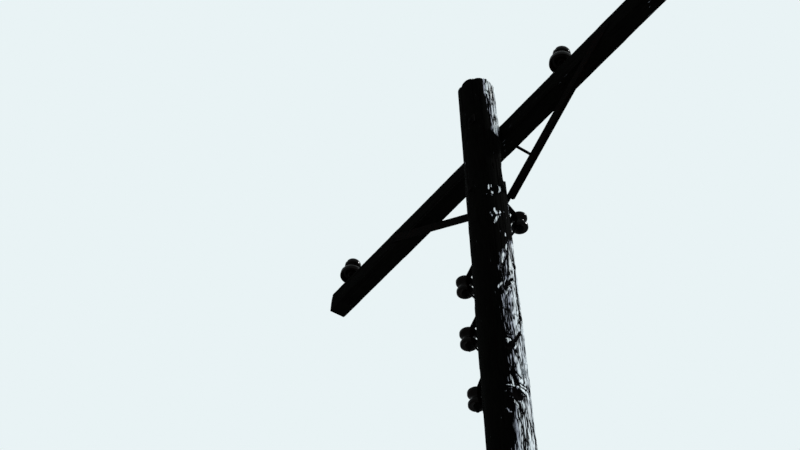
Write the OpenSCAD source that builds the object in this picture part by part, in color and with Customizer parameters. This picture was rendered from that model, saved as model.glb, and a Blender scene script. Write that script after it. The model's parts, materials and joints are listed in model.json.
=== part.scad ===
// Wooden utility pole with one braced crossarm, from ground level up.
// Units are millimetres. +Z is up and the origin is the pole's centre at ground level.
// The crossarm runs along X and is bolted to the side of the pole that faces +Y.

/* [Pole] */
// height of the pole above the ground
pole_h = 7510; // [5000:10:12000]
// diameter of the pole at the ground
pole_base_d = 258; // [180:1:400]
// diameter of the pole at its top
pole_top_d = 200; // [140:1:300]
// depth of the flats that brackets and washers bed into
seat_depth = 2; // [0:0.5:6]

/* [Crossarm] */
// full length of the crossarm
arm_len = 3050; // [2900:10:4000]
// thickness of the crossarm, along Y
arm_w = 100; // [70:1:140]
// height of the crossarm
arm_h = 124; // [80:1:160]
// drop from the pole's top to the middle of the crossarm
arm_drop = 360; // [200:5:700]
// depth of the flat cut in the pole for the crossarm
gain_depth = 19; // [0:1:25]
// how far that flat runs on above and below the crossarm
gain_margin = 12; // [0:1:60]
// chamfer on the crossarm's two upper long edges
arm_chamfer = 12; // [0:1:20]
// chamfer on the crossarm's two lower long edges
arm_arris = 3; // [0:0.5:10]
// distance of the crossarm's through bolt from the pole's centre line, along X
arm_bolt_x = 40; // [-40:5:40]

/* [Braces] */
// distance of the brace bolts in the crossarm from the pole's centre
brace_reach = 885; // [700:5:1200]
// drop from the pole's top to the bolt that holds both braces
brace_drop = 860; // [750:1:1400]
// width of each leg of the brace's angle section
brace_leg = 48; // [25:1:50]
// thickness of the brace
brace_t = 5; // [3:0.5:8]
// length of the flattened end, from the pole bolt to where the outstanding leg starts
brace_pad = 54; // [50:1:120]
// length of the brace beyond its end bolts
brace_end = 30; // [26:1:50]

/* [Arm insulators] */
// distance of the two outer insulators from the pole's centre
outer_reach = 1395; // [900:5:1420]
// distance of the inner insulator from the pole's centre
inner_reach = 512; // [300:1:700]
// height of the insulator's rim above the crossarm
rim_lift = 88; // [50:1:140]
// lean of the pins and their insulators away from the pole
pin_lean = 8; // [-15:1:20]
// greatest radius of the insulator's skirt
skirt_r = 66; // [50:1:90]
// radius of the insulator's neck, where its tie groove is
neck_r = 30; // [26:1:40]
// radius of the insulator's head
head_r = 48; // [42:1:70]
// full height of the insulator
insulator_h = 138; // [125:1:200]
// diameter of the pin inside the insulator
pin_d = 22; // [16:1:26]

/* [Spool brackets] */
// drops from the pole's top to the three lower spools
spool_drops = [1391, 1720, 2053];
// directions in which the three lower spools face, from +X
spool_turns = [-157, -157, -168];
// drop from the pole's top to the upper spool
service_drop = 1000; // [995:1:1200]
// direction in which the upper spool faces, from +X
service_turn = 68; // [-180:1:180]
// distance of a spool's pin from the bracket's back
spool_reach = 56; // [52:1:90]
// height of the bracket's back plate
iron_h = 228; // [160:1:300]
// width of the bracket's strap
iron_w = 32; // [28:1:50]
// thickness of the bracket's strap
iron_t = 6; // [4:0.5:8]
// greatest radius of a spool
spool_r = 42; // [36:1:46]
// radius of a spool at the bottom of its groove
spool_groove_r = 25; // [18:1:28]
// height of a spool
spool_h = 86; // [70:1:110]

/* [Bolts] */
// diameter of the through bolts and spool pins
bolt_d = 16; // [12:1:18]
// diameter of a bolt's thread, drawn plain where it stands free
thread_d = 15; // [11:0.5:17.5]
// how far the crossarm's through bolt runs on past its nut
arm_bolt_tail = 150; // [30:5:200]
// how far the brace bolt runs on past its nut
bolt_tail = 26; // [15:1:60]
// how far the brackets' bolts run on past their nuts, towards the spools
iron_bolt_tail = 1.5; // [1:0.5:3]
// diameter of the domed heads of the brackets' bolts
dome_d = 36; // [28:1:50]
// height of those heads
dome_h = 8; // [5:0.5:12]
// side of the square washers
washer_w = 57; // [45:1:80]
// thickness of the washers
washer_t = 5; // [3:1:8]
// side of the square nuts
nut_w = 27; // [24:1:36]
// thickness of the nuts
nut_t = 14; // [8:1:20]
// thickness of the low nuts of the brackets' bolts
low_nut_t = 10; // [8:1:11]
// clearance added to the diameter of a drilled hole
hole_play = 1.5; // [0.5:0.5:4]

/* [Hidden] */
$fn = 48;
wood = [0.30, 0.25, 0.21];
steel = [0.42, 0.40, 0.38];
rusty_steel = [0.35, 0.25, 0.20];
brown_glaze = [0.16, 0.09, 0.07];
arm_z = pole_h - arm_drop;
arm_top_z = arm_z + arm_h / 2;
arm_low_z = arm_z - arm_h / 2;
brace_z = pole_h - brace_drop;
service_z = pole_h - service_drop;
arm_near_y = pole_r(arm_z) - gain_depth;
arm_far_y = arm_near_y + arm_w;
arm_mid_y = arm_near_y + arm_w / 2;
hole_d = bolt_d + hole_play;
nut_play = 0.5;
point_l = 8;
point_d = thread_d - 5;
head_w = 24;
head_t = 10;
lug_gap = spool_h + 2;
brace_pole_y = chord_y(0, brace_z);
brace_arm_y = arm_near_y - brace_t;
brace_run = norm([brace_reach, arm_z - brace_z]);
brace_slope = atan2(arm_z - brace_z, brace_reach);
brace_clear = 3;
brace_corner = 8;
brace_bolt_d = 12;
brace_hole_d = brace_bolt_d + hole_play;
pin_flange_d = 50;
pin_flange_h = 8;
pin_foot_h = 20;
socket_h = 72;
insulator_xs = [-outer_reach, inner_reach, outer_reach];

// radius of the pole at height z
function pole_r(z) = (pole_base_d - (pole_base_d - pole_top_d) * z / pole_h) / 2;

// distance from the pole's middle plane to a flat that beds in around a bolt set off by x
function chord_y(x, z) = sqrt(pow(pole_r(z), 2) - x * x) - seat_depth;

// distance of a bracket's bedding face from the pole's centre line
function seat_r(z) = chord_y(0, z);

// height of lower spool i, counted from 0
function spool_z(i) = pole_h - spool_drops[i];

// points of an elliptical arc round (cx, cz), from angle a to angle b in n steps
function arc(cx, cz, rx, rz, a, b, n) =
    [for (i = [0:n]) let (t = a + (b - a) * i / n) [cx + rx * cos(t), cz + rz * sin(t)]];

// points of a smooth S-shaped sweep from (r1, z1) to (r2, z2) in n steps
function sweep(r1, z1, r2, z2, n) =
    [for (i = [0:n]) [r1 + (r2 - r1) * (1 - cos(180 * i / n)) / 2, z1 + (z2 - z1) * i / n]];

// places children so that local +X points away from the pole at height z
module facing(turn, z) {
    translate([0, 0, z]) rotate([0, 0, turn]) children();
}

// lays a child that points up along +X
module along_x(x) {
    translate([x, 0, 0]) rotate([0, 90, 0]) children();
}

// lays a child that points up along +Y
module along_y(y) {
    translate([0, y, 0]) rotate([-90, 0, 0]) children();
}

// square block w wide standing on z = 0, its upper corners turned down round the middle
module square_head(w, h) {
    intersection() {
        translate([-w / 2, -w / 2, 0]) cube([w, w, h]);
        cylinder(d1 = 1.6 * w, d2 = 1.15 * w, h = h);
    }
}

// bolt along +Z: its square head ends at z = 0, its nut at z = grip, and the thread runs on
module bolt(grip, tail) {
    mirror([0, 0, 1]) square_head(head_w, head_t);
    cylinder(d = bolt_d, h = grip);
    translate([0, 0, grip]) cylinder(d = thread_d, h = tail - point_l);
    translate([0, 0, grip + tail - point_l]) cylinder(d1 = thread_d, d2 = point_d, h = point_l);
}

// square washer standing on z = 0
module washer() {
    difference() {
        translate([-washer_w / 2, -washer_w / 2, 0]) cube([washer_w, washer_w, washer_t]);
        translate([0, 0, -1]) cylinder(d = hole_d, h = washer_t + 2);
    }
}

// square nut h thick standing on z = 0
module nut(h) {
    difference() {
        square_head(nut_w, h);
        translate([0, 0, -1]) cylinder(d = bolt_d + nut_play, h = h + 2);
    }
}

// space that a bracket, its bolt and the bolt's far head take out of the pole
module bracket_cut(turn, z) {
    facing(turn, z) {
        along_x(-pole_base_d) cylinder(d = hole_d, h = 2 * pole_base_d);
        translate([seat_r(z), -iron_w / 2, -iron_h / 2]) cube([pole_base_d, iron_w, iron_h]);
        along_x(-seat_r(z) - pole_base_d) cylinder(d = dome_d + 2, h = pole_base_d);
    }
}

// space that a bolt along Y at x and its near washer take out of the pole
module cross_cut(x, z) {
    translate([x, 0, z]) {
        along_y(-pole_base_d) cylinder(d = hole_d, h = 2 * pole_base_d);
        translate([-washer_w / 2, -chord_y(x, z) - pole_base_d, -washer_w / 2])
            cube([washer_w, pole_base_d, washer_w]);
    }
}

module pole() {
    color(wood) difference() {
        cylinder(d1 = pole_base_d, d2 = pole_top_d, h = pole_h, $fn = 96);
        translate([-pole_base_d, arm_near_y, arm_low_z - gain_margin])
            cube([2 * pole_base_d, pole_base_d, arm_h + 2 * gain_margin]);
        translate([-brace_leg, brace_pole_y, brace_z - brace_leg])
            cube([2 * brace_leg, pole_base_d, 2 * brace_leg]);
        cross_cut(arm_bolt_x, arm_z);
        cross_cut(0, brace_z);
        for (i = [0:2]) bracket_cut(spool_turns[i], spool_z(i));
        bracket_cut(service_turn, service_z);
    }
}

// section of the crossarm, seen along its length
module arm_section() {
    top = arm_h / 2;
    polygon([[arm_near_y + arm_arris, -top], [arm_far_y - arm_arris, -top],
             [arm_far_y, arm_arris - top], [arm_far_y, top - arm_chamfer],
             [arm_far_y - arm_chamfer, top], [arm_near_y + arm_chamfer, top],
             [arm_near_y, top - arm_chamfer], [arm_near_y, arm_arris - top]]);
}

module crossarm() {
    color(wood) difference() {
        translate([-arm_len / 2, 0, arm_z]) rotate([90, 0, 90]) linear_extrude(arm_len) arm_section();
        translate([arm_bolt_x, 0, arm_z]) along_y(arm_near_y - 1) cylinder(d = hole_d, h = arm_w + 2);
        for (side = [-1, 1]) translate([side * brace_reach, 0, arm_z])
            along_y(arm_near_y - 1) cylinder(d = brace_hole_d, h = arm_w + 2);
        for (x = insulator_xs) translate([x, arm_mid_y, arm_low_z - 1])
            cylinder(d = hole_d, h = arm_h + 2);
    }
}

// outline of a brace's flat leg, with both its ends rounded
module brace_outline() {
    back = brace_end - brace_leg / 2;
    for (s = [-back, brace_run + back]) translate([s, 0]) circle(d = brace_leg);
    translate([-back, -brace_leg / 2]) square([brace_run + 2 * back, brace_leg]);
}

// angle brace from the pole bolt at the origin along +X, its flat leg in the XZ plane, its other
// leg pointing away from the pole; the flat leg is set from pole_y at the pole to the crossarm
module brace(pole_y) {
    leg_end = (arm_low_z - brace_clear - brace_z - brace_leg / 2 * cos(brace_slope)) / sin(brace_slope);
    far = brace_run + brace_end;
    difference() {
        union() {
            intersection() {
                translate([0, 0, -brace_leg / 2]) linear_extrude(brace_leg)
                    polygon([[-brace_end, pole_y], [brace_pad, pole_y],
                             [leg_end, brace_arm_y], [far, brace_arm_y],
                             [far, brace_arm_y + brace_t], [leg_end, brace_arm_y + brace_t],
                             [brace_pad, pole_y + brace_t], [-brace_end, pole_y + brace_t]]);
                rotate([90, 0, 0]) translate([0, 0, -2 * pole_base_d])
                    linear_extrude(2 * pole_base_d) brace_outline();
            }
            translate([0, 0, brace_leg / 2 - brace_t]) linear_extrude(brace_t)
                polygon([[brace_pad, pole_y + brace_t / 2], [leg_end, brace_arm_y + brace_t / 2],
                         [leg_end, brace_arm_y + brace_leg - brace_corner],
                         [leg_end - brace_corner, brace_arm_y + brace_leg],
                         [brace_pad + brace_corner, pole_y + brace_leg],
                         [brace_pad, pole_y + brace_leg - brace_corner]]);
        }
        along_y(pole_y - 1) cylinder(d = hole_d, h = brace_t + 2);
        translate([brace_run, 0, 0]) along_y(brace_arm_y - 1) cylinder(d = brace_hole_d, h = brace_t + 2);
    }
}

module brace_right() {
    color(rusty_steel) translate([0, 0, brace_z]) rotate([0, -brace_slope, 0]) brace(brace_pole_y);
}

module brace_left() {
    color(rusty_steel) mirror([1, 0, 0]) translate([0, 0, brace_z]) rotate([0, -brace_slope, 0])
        brace(brace_pole_y + brace_t);
}

module arm_bolt() {
    near = chord_y(arm_bolt_x, arm_z);
    color(steel) translate([arm_bolt_x, 0, arm_z]) along_y(-near - washer_t)
        bolt(near + arm_far_y + 2 * washer_t + nut_t, arm_bolt_tail);
}

module arm_bolt_nut() {
    color(steel) translate([arm_bolt_x, 0, arm_z]) along_y(arm_far_y + washer_t) nut(nut_t);
}

module arm_bolt_washers() {
    color(steel) translate([arm_bolt_x, 0, arm_z]) {
        along_y(-chord_y(arm_bolt_x, arm_z) - washer_t) washer();
        along_y(arm_far_y) washer();
    }
}

module brace_pole_bolt() {
    color(steel) translate([0, 0, brace_z])
        along_y(-seat_r(brace_z)) bolt(seat_r(brace_z) + brace_pole_y + 2 * brace_t + nut_t, bolt_tail);
}

module brace_pole_nut() {
    color(steel) translate([0, 0, brace_z]) along_y(brace_pole_y + 2 * brace_t) nut(nut_t);
}

// low domed bolt head d wide and h high, standing on z = 0
module domed_head(d, h) {
    ball_r = (d * d / 4 + h * h) / (2 * h);
    intersection() {
        translate([0, 0, h - ball_r]) sphere(r = ball_r);
        cylinder(d = d, h = h);
    }
}

// carriage bolt with its domed head on the brace and its nut on the far face
module brace_arm_bolt(side) {
    small_nut_w = 20;
    small_nut_t = 10;
    tail = 8;
    color(steel) translate([side * brace_reach, 0, arm_z]) {
        along_y(brace_arm_y) mirror([0, 0, 1]) domed_head(26, 6);
        along_y(brace_arm_y) cylinder(d = brace_bolt_d, h = brace_t + arm_w + small_nut_t + tail);
        along_y(arm_far_y) square_head(small_nut_w, small_nut_t);
    }
}

// leans what stands on a pin's flange at x on the crossarm
module on_pin(x) {
    translate([x, arm_mid_y, arm_top_z + pin_flange_h]) rotate([-pin_lean, 0, 0])
        translate([0, 0, -pin_flange_h]) children();
}

// steel pin through the crossarm: flange, tapered foot and leaning stem above, plain shank below
module insulator_pin(x) {
    shank = arm_h + washer_t + nut_t + bolt_tail / 2;
    color(steel) {
        translate([x, arm_mid_y, arm_top_z]) cylinder(d = pin_flange_d, h = pin_flange_h);
        translate([x, arm_mid_y, arm_top_z - shank]) cylinder(d = bolt_d, h = shank + 1);
        on_pin(x) {
            translate([0, 0, pin_flange_h]) cylinder(d1 = pin_d + 12, d2 = pin_d, h = pin_foot_h);
            translate([0, 0, pin_flange_h / 2])
                cylinder(d = pin_d, h = rim_lift + socket_h - pin_flange_h / 2);
        }
    }
}

// washers and nuts under the crossarm
module insulator_pin_nuts() {
    color(steel) for (x = insulator_xs) translate([x, arm_mid_y, arm_low_z]) mirror([0, 0, 1]) {
        washer();
        translate([0, 0, washer_t]) nut(nut_t);
    }
}

// pin insulator: skirt round a hollow with an inner petticoat, tie groove, domed head with a
// groove across its top
module insulator(x) {
    rim = 4;
    wall = 10;
    side_h = 20;
    shoulder = 30;
    cavity_h = 38;
    petticoat_r = 23;
    petticoat_lift = 12;
    groove_low = 55;
    groove_high = 68;
    head_low = 88;
    dome_h = insulator_h - head_low - 10;
    lip = 10;
    top_groove_d = 16;
    bore_r = pin_d / 2 + 0.5;
    color(brown_glaze) on_pin(x) translate([0, 0, rim_lift]) difference() {
        rotate_extrude($fn = 64) polygon(concat(
            [[0, socket_h], [bore_r, socket_h], [bore_r, petticoat_lift + 2],
             [bore_r + 2, petticoat_lift], [petticoat_r - 2, petticoat_lift],
             [petticoat_r, petticoat_lift + 2], [petticoat_r + 3, cavity_h],
             [skirt_r - 2 * wall, cavity_h], [skirt_r - wall - 1, cavity_h - wall],
             [skirt_r - wall, 2], [skirt_r - wall + 2, 0]],
            arc(skirt_r - rim, rim, rim, rim, -90, 0, 3),
            arc(skirt_r - shoulder, side_h, shoulder, shoulder, 0, 70, 6),
            sweep(skirt_r - shoulder + 4, groove_low - 6, neck_r, groove_low, 3),
            [[neck_r, groove_high]],
            arc(head_r - lip, head_low, lip, lip, -75, 0, 4),
            arc(0, head_low + 10, head_r, dome_h, 4, 90, 9)));
        translate([0, 0, insulator_h]) along_y(-skirt_r) cylinder(d = top_groove_d, h = 2 * skirt_r);
    }
}

// strap bracket bent like the letter D, its back on x = 0, with round-ended lugs
module iron() {
    lug_x = spool_reach + iron_w / 2;
    lug_z = lug_gap / 2;
    bend_x = lug_x - iron_w;
    rise = iron_h / 2 - lug_z - iron_t;
    slant = iron_t * norm([bend_x, rise]) / bend_x;
    fold_z = iron_h / 2 - iron_t * rise / bend_x - slant;
    inner_x = bend_x - (slant - iron_t) * bend_x / rise;
    color(steel) difference() {
        intersection() {
            translate([0, iron_w / 2, 0]) rotate([90, 0, 0]) linear_extrude(iron_w)
                difference() {
                    polygon([[0, -iron_h / 2], [bend_x, -lug_z - iron_t], [lug_x, -lug_z - iron_t],
                             [lug_x, lug_z + iron_t], [bend_x, lug_z + iron_t], [0, iron_h / 2]]);
                    polygon([[iron_t, -fold_z], [inner_x, -lug_z], [lug_x + 1, -lug_z],
                             [lug_x + 1, lug_z], [inner_x, lug_z], [iron_t, fold_z]]);
                }
            translate([0, 0, -iron_h]) union() {
                translate([-1, -iron_w / 2 - 1, 0]) cube([spool_reach + 1, iron_w + 2, 2 * iron_h]);
                translate([spool_reach, 0, 0]) cylinder(d = iron_w, h = 2 * iron_h);
            }
        }
        along_x(-1) cylinder(d = hole_d, h = iron_t + 2);
        translate([spool_reach, 0, -iron_h / 2]) cylinder(d = hole_d, h = iron_h);
    }
}

// spool insulator with one groove, standing 1 mm below the middle, on the lower lug
module spool() {
    half = spool_h / 2;
    edge = 7;
    belly = 26;
    waist = 4;
    color(brown_glaze) translate([spool_reach, 0, -1]) rotate_extrude($fn = 64) polygon(concat(
        [[hole_d / 2, half], [hole_d / 2, -half]],
        arc(spool_r - edge, edge - half, edge, edge, -90, 0, 4),
        sweep(spool_r, -belly, spool_groove_r, -waist, 7),
        sweep(spool_groove_r, waist, spool_r, belly, 7),
        arc(spool_r - edge, half - edge, edge, edge, 0, 90, 4)));
}

// pin of a spool: head above the upper lug, split pin below the lower one
module spool_pin() {
    top = lug_gap / 2 + iron_t;
    pin_tail = 22;
    pin_head_d = 28;
    pin_head_h = 9;
    split_d = 5;
    split_l = 32;
    color(steel) translate([spool_reach, 0, 0]) {
        translate([0, 0, -top - pin_tail]) cylinder(d = bolt_d, h = 2 * top + pin_tail);
        translate([0, 0, top]) cylinder(d = pin_head_d, h = pin_head_h, $fn = 6);
        translate([0, 0, -top - pin_tail / 2]) along_y(-split_l / 2)
            cylinder(d = split_d, h = split_l, $fn = 24);
    }
}

// through bolt of a bracket: its domed head on the pole's far side, its point past the nut
module iron_bolt(z) {
    grip = 2 * seat_r(z) + iron_t + low_nut_t;
    along_x(-seat_r(z)) {
        mirror([0, 0, 1]) domed_head(dome_d, dome_h);
        cylinder(d = bolt_d, h = grip);
        translate([0, 0, grip]) cylinder(d1 = bolt_d, d2 = point_d, h = iron_bolt_tail);
    }
}

module iron_nut(z) { along_x(seat_r(z) + iron_t) nut(low_nut_t); }

// places children on a bracket's bedding face
module on_seat(turn, z) {
    facing(turn, z) translate([seat_r(z), 0, 0]) children();
}

// places children on the bedding face of lower bracket i
module on_line_seat(i) {
    on_seat(spool_turns[i], spool_z(i)) children();
}

module line_iron(i) { on_line_seat(i) iron(); }
module line_spool(i) { on_line_seat(i) spool(); }
module line_spool_pin(i) { on_line_seat(i) spool_pin(); }
module line_iron_bolt(i) { color(steel) facing(spool_turns[i], spool_z(i)) iron_bolt(spool_z(i)); }
module line_iron_nut(i) { color(steel) facing(spool_turns[i], spool_z(i)) iron_nut(spool_z(i)); }

module service_iron() { on_seat(service_turn, service_z) iron(); }
module service_spool() { on_seat(service_turn, service_z) spool(); }
module service_spool_pin() { on_seat(service_turn, service_z) spool_pin(); }
module service_iron_bolt() { color(steel) facing(service_turn, service_z) iron_bolt(service_z); }
module service_iron_nut() { color(steel) facing(service_turn, service_z) iron_nut(service_z); }

pole();
crossarm();
brace_left();
brace_right();
arm_bolt();
arm_bolt_nut();
arm_bolt_washers();
brace_pole_bolt();
brace_pole_nut();
brace_arm_bolt(-1);  // brace_arm_bolt_left
brace_arm_bolt(1);  // brace_arm_bolt_right
insulator_pin(insulator_xs[0]);  // insulator_pin_1
insulator_pin(insulator_xs[1]);  // insulator_pin_2
insulator_pin(insulator_xs[2]);  // insulator_pin_3
insulator(insulator_xs[0]);  // insulator_1
insulator(insulator_xs[1]);  // insulator_2
insulator(insulator_xs[2]);  // insulator_3
insulator_pin_nuts();
line_iron(0);  // line_iron_1
line_iron(1);  // line_iron_2
line_iron(2);  // line_iron_3
line_spool(0);  // line_spool_1
line_spool(1);  // line_spool_2
line_spool(2);  // line_spool_3
line_spool_pin(0);  // line_spool_pin_1
line_spool_pin(1);  // line_spool_pin_2
line_spool_pin(2);  // line_spool_pin_3
line_iron_bolt(0);  // line_iron_bolt_1
line_iron_bolt(1);  // line_iron_bolt_2
line_iron_bolt(2);  // line_iron_bolt_3
line_iron_nut(0);  // line_iron_nut_1
line_iron_nut(1);  // line_iron_nut_2
line_iron_nut(2);  // line_iron_nut_3
service_iron();
service_spool();
service_spool_pin();
service_iron_bolt();
service_iron_nut();
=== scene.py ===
# %% [markdown]
# # A wooden utility pole, dressed
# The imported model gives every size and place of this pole: the round timber, its crossarm, two
# braces, three insulators on pins and four spools in strap brackets. This lesson gives them the
# surfaces of a pole that has stood in the sun for decades. Lengths are in metres, as in the
# frame. The pole's axis is Z and the crossarm runs along X.

# %% Load the frame
import json
import math

import bpy
import numpy as np
from mathutils import Matrix, Vector
from mathutils.bvhtree import BVHTree


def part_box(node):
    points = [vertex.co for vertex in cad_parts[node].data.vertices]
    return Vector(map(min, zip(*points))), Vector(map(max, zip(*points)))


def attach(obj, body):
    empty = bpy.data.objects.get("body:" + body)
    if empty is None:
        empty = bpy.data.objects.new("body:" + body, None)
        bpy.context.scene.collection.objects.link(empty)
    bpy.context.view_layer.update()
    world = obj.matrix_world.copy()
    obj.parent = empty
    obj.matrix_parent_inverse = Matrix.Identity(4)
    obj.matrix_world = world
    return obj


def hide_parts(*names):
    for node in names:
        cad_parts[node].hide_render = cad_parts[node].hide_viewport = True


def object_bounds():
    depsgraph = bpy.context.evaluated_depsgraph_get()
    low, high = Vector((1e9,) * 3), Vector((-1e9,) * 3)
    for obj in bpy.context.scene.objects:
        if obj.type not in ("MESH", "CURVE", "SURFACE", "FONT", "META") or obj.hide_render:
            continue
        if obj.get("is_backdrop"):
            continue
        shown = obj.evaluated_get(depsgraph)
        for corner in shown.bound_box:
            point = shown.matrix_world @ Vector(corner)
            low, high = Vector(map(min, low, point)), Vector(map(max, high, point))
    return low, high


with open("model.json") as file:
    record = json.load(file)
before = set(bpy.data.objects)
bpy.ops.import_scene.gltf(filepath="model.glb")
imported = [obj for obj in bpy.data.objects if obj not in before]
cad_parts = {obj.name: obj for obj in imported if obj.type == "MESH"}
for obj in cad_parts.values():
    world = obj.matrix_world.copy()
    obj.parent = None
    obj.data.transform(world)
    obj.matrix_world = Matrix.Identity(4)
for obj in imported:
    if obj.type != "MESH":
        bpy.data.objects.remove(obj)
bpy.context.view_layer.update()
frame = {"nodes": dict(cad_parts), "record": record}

MM = 0.001
print("nodes in the frame:", len(frame["nodes"]))

# %% [markdown]
# ## The camera
# The picture was taken from the ground, close to the pole and looking steeply up, so the pole
# narrows towards its top. Place, turn, tilt, roll and focal length were fitted together to the
# edges of the pole, the arm and the braces. The camera's three axes are built from those angles,
# which is easier to check than three Euler angles.

# %% Camera
IMAGE_W = 800
SENSOR_W = 36.0
FOCAL_PX = 1430.5
CAMERA_AT = Vector((3.5855, -3.3001, 1.4188))
LOOK_TURN, LOOK_UP, ROLL = 52.5186, 46.1935, -1.9703


def camera_matrix(at, turn, up, roll):
    """World matrix of a camera that looks along +Y when turn and up are 0."""
    turn, up, roll = (math.radians(a) for a in (turn, up, roll))
    level = Vector((-math.sin(turn), math.cos(turn), 0))
    ahead = level * math.cos(up) + Vector((0, 0, math.sin(up)))
    right = Vector((math.cos(turn), math.sin(turn), 0))
    over = right.cross(ahead)
    right, over = (right * math.cos(roll) + over * math.sin(roll),
                   over * math.cos(roll) - right * math.sin(roll))
    turned = Matrix((right, over, -ahead)).transposed()
    return Matrix.Translation(at) @ turned.to_4x4()


camera = bpy.data.objects.new("camera", bpy.data.cameras.new("camera"))
bpy.context.scene.collection.objects.link(camera)
camera.data.sensor_width = SENSOR_W
camera.data.lens = SENSOR_W * FOCAL_PX / IMAGE_W
camera.matrix_world = camera_matrix(CAMERA_AT, LOOK_TURN, LOOK_UP, ROLL)
bpy.context.scene.camera = camera
bpy.context.scene.view_settings.view_transform = "Standard"
print("lens:", round(camera.data.lens, 2), "mm")

# %% [markdown]
# ## Colours and nodes
# Colours are written as the sRGB hex values that one would read off a photograph, and a shader
# works in linear light, so one function turns them. A second small function adds a node with its
# settings, its links and, for a colour ramp, its stops. Inputs that share a name are given by
# number: a MapRange takes 1..2 to 3..4, which is 0..1 where it is left out, and a Mix of colours
# goes from 6 to 7 as its factor, 0, grows.


# %% Colour and node helpers
def colour(code):
    """Linear RGBA from an sRGB hex value."""
    parts = [int(code[i:i + 2], 16) / 255 for i in (1, 3, 5)]
    return tuple(c / 12.92 if c <= 0.04045 else ((c + 0.055) / 1.055) ** 2.4 for c in parts) + (1,)


def give(tree, node, inputs):
    """Sets a node's inputs, each to a value or to a link from a socket."""
    for key, value in inputs.items():
        if isinstance(value, bpy.types.NodeSocket):
            tree.links.new(value, node.inputs[key])
        else:
            node.inputs[key].default_value = value


def add(tree, kind, inputs=None, stops=None, **settings):
    """Adds a node with its settings and inputs; stops are a ramp's (place, hex)."""
    node = tree.nodes.new("ShaderNode" + kind)
    for name, value in settings.items():
        setattr(node, name, value)
    give(tree, node, inputs or {})
    if stops:
        ends = node.color_ramp.elements
        for end, (place, code) in zip((ends[0], ends[-1]), (stops[0], stops[-1])):
            end.position, end.color = place, colour(code)
        for place, code in stops[1:-1]:
            ends.new(place).color = colour(code)
    return node


def new_material(name):
    """An empty material: its tree and its shader, already linked to the output."""
    material = bpy.data.materials.new(name)
    material.use_nodes = True
    tree = material.node_tree
    tree.nodes.clear()
    shader = add(tree, "BsdfPrincipled")
    add(tree, "OutputMaterial", {"Surface": shader.outputs[0]})
    return material, tree, shader


print("white reads as", colour("#FFFFFF")[:3])

# %% [markdown]
# ## Sky, sun and floor
# The pole stands against a bright hazy sky. The sky that the camera sees is a pale blue of full
# strength, and mirrors and glass see it too. What lights the object is a plain soft level, so
# that a colour comes out about as it is written. The sun stands high behind the pole's right
# side: it grazes that side and the arm throws its shadow down the pole. The floor is matt paint,
# which shows a soft shadow and no gloss.


# %% Directions
def direction(turn, up=0):
    """Unit vector that is turned from X towards Y and then raised, both in degrees."""
    turn, up = math.radians(turn), math.radians(up)
    return Vector((math.cos(turn) * math.cos(up), math.sin(turn) * math.cos(up), math.sin(up)))


print("45 degrees from X:", [round(c, 3) for c in direction(45)])

# %% Sky, sun and floor
SKY_LEVEL = 0.55
SUN_LEVEL = 2.4
SUN_TURN, SUN_HEIGHT, SUN_WIDTH = 58, 44, 5
FLOOR_SIZE = 400
CLOUDS = 0.6  # faint clouds to a metre of floor

world = bpy.data.worlds.new("sky")
bpy.context.scene.world = world
world.use_nodes = True
world.node_tree.nodes.clear()
tree = world.node_tree
seen_by = add(tree, "LightPath")
seen = seen_by.outputs["Is Camera Ray"]
for ray in ("Is Glossy Ray", "Is Transmission Ray"):
    seen = add(tree, "Math", {0: seen, 1: seen_by.outputs[ray]}, operation="MAXIMUM").outputs[0]
light = add(tree, "Background", {"Color": colour("#F4F6F8"), "Strength": SKY_LEVEL})
shown = add(tree, "Background", {"Color": colour("#E9F3F5"), "Strength": 1.0})
sky = add(tree, "MixShader", {0: seen, 1: light.outputs[0], 2: shown.outputs[0]})
add(tree, "OutputWorld", {"Surface": sky.outputs[0]})

sun = bpy.data.objects.new("sun", bpy.data.lights.new("sun", "SUN"))
bpy.context.scene.collection.objects.link(sun)
sun.data.energy = SUN_LEVEL
sun.data.angle = math.radians(SUN_WIDTH)
sun.rotation_mode = "QUATERNION"
sun.rotation_quaternion = direction(SUN_TURN, SUN_HEIGHT).to_track_quat("Z", "Y")

bpy.ops.mesh.primitive_grid_add(size=FLOOR_SIZE, location=(0, 0, 0))
floor = bpy.context.object
floor.name = "floor"
floor_paint, tree, shader = new_material("pale matt floor")
clouds = add(tree, "TexNoise", {"Scale": CLOUDS, "Detail": 3.0})
tone = add(tree, "ValToRGB", {0: clouds.outputs[0]}, [(0.3, "#D9DEDF"), (0.7, "#DFE3E4")])
give(tree, shader, {"Base Color": tone.outputs[0], "Roughness": 0.95, "Specular IOR Level": 0.1})
floor.data.materials.append(floor_paint)
floor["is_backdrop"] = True
print("sun stands", SUN_HEIGHT, "degrees high")
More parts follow.
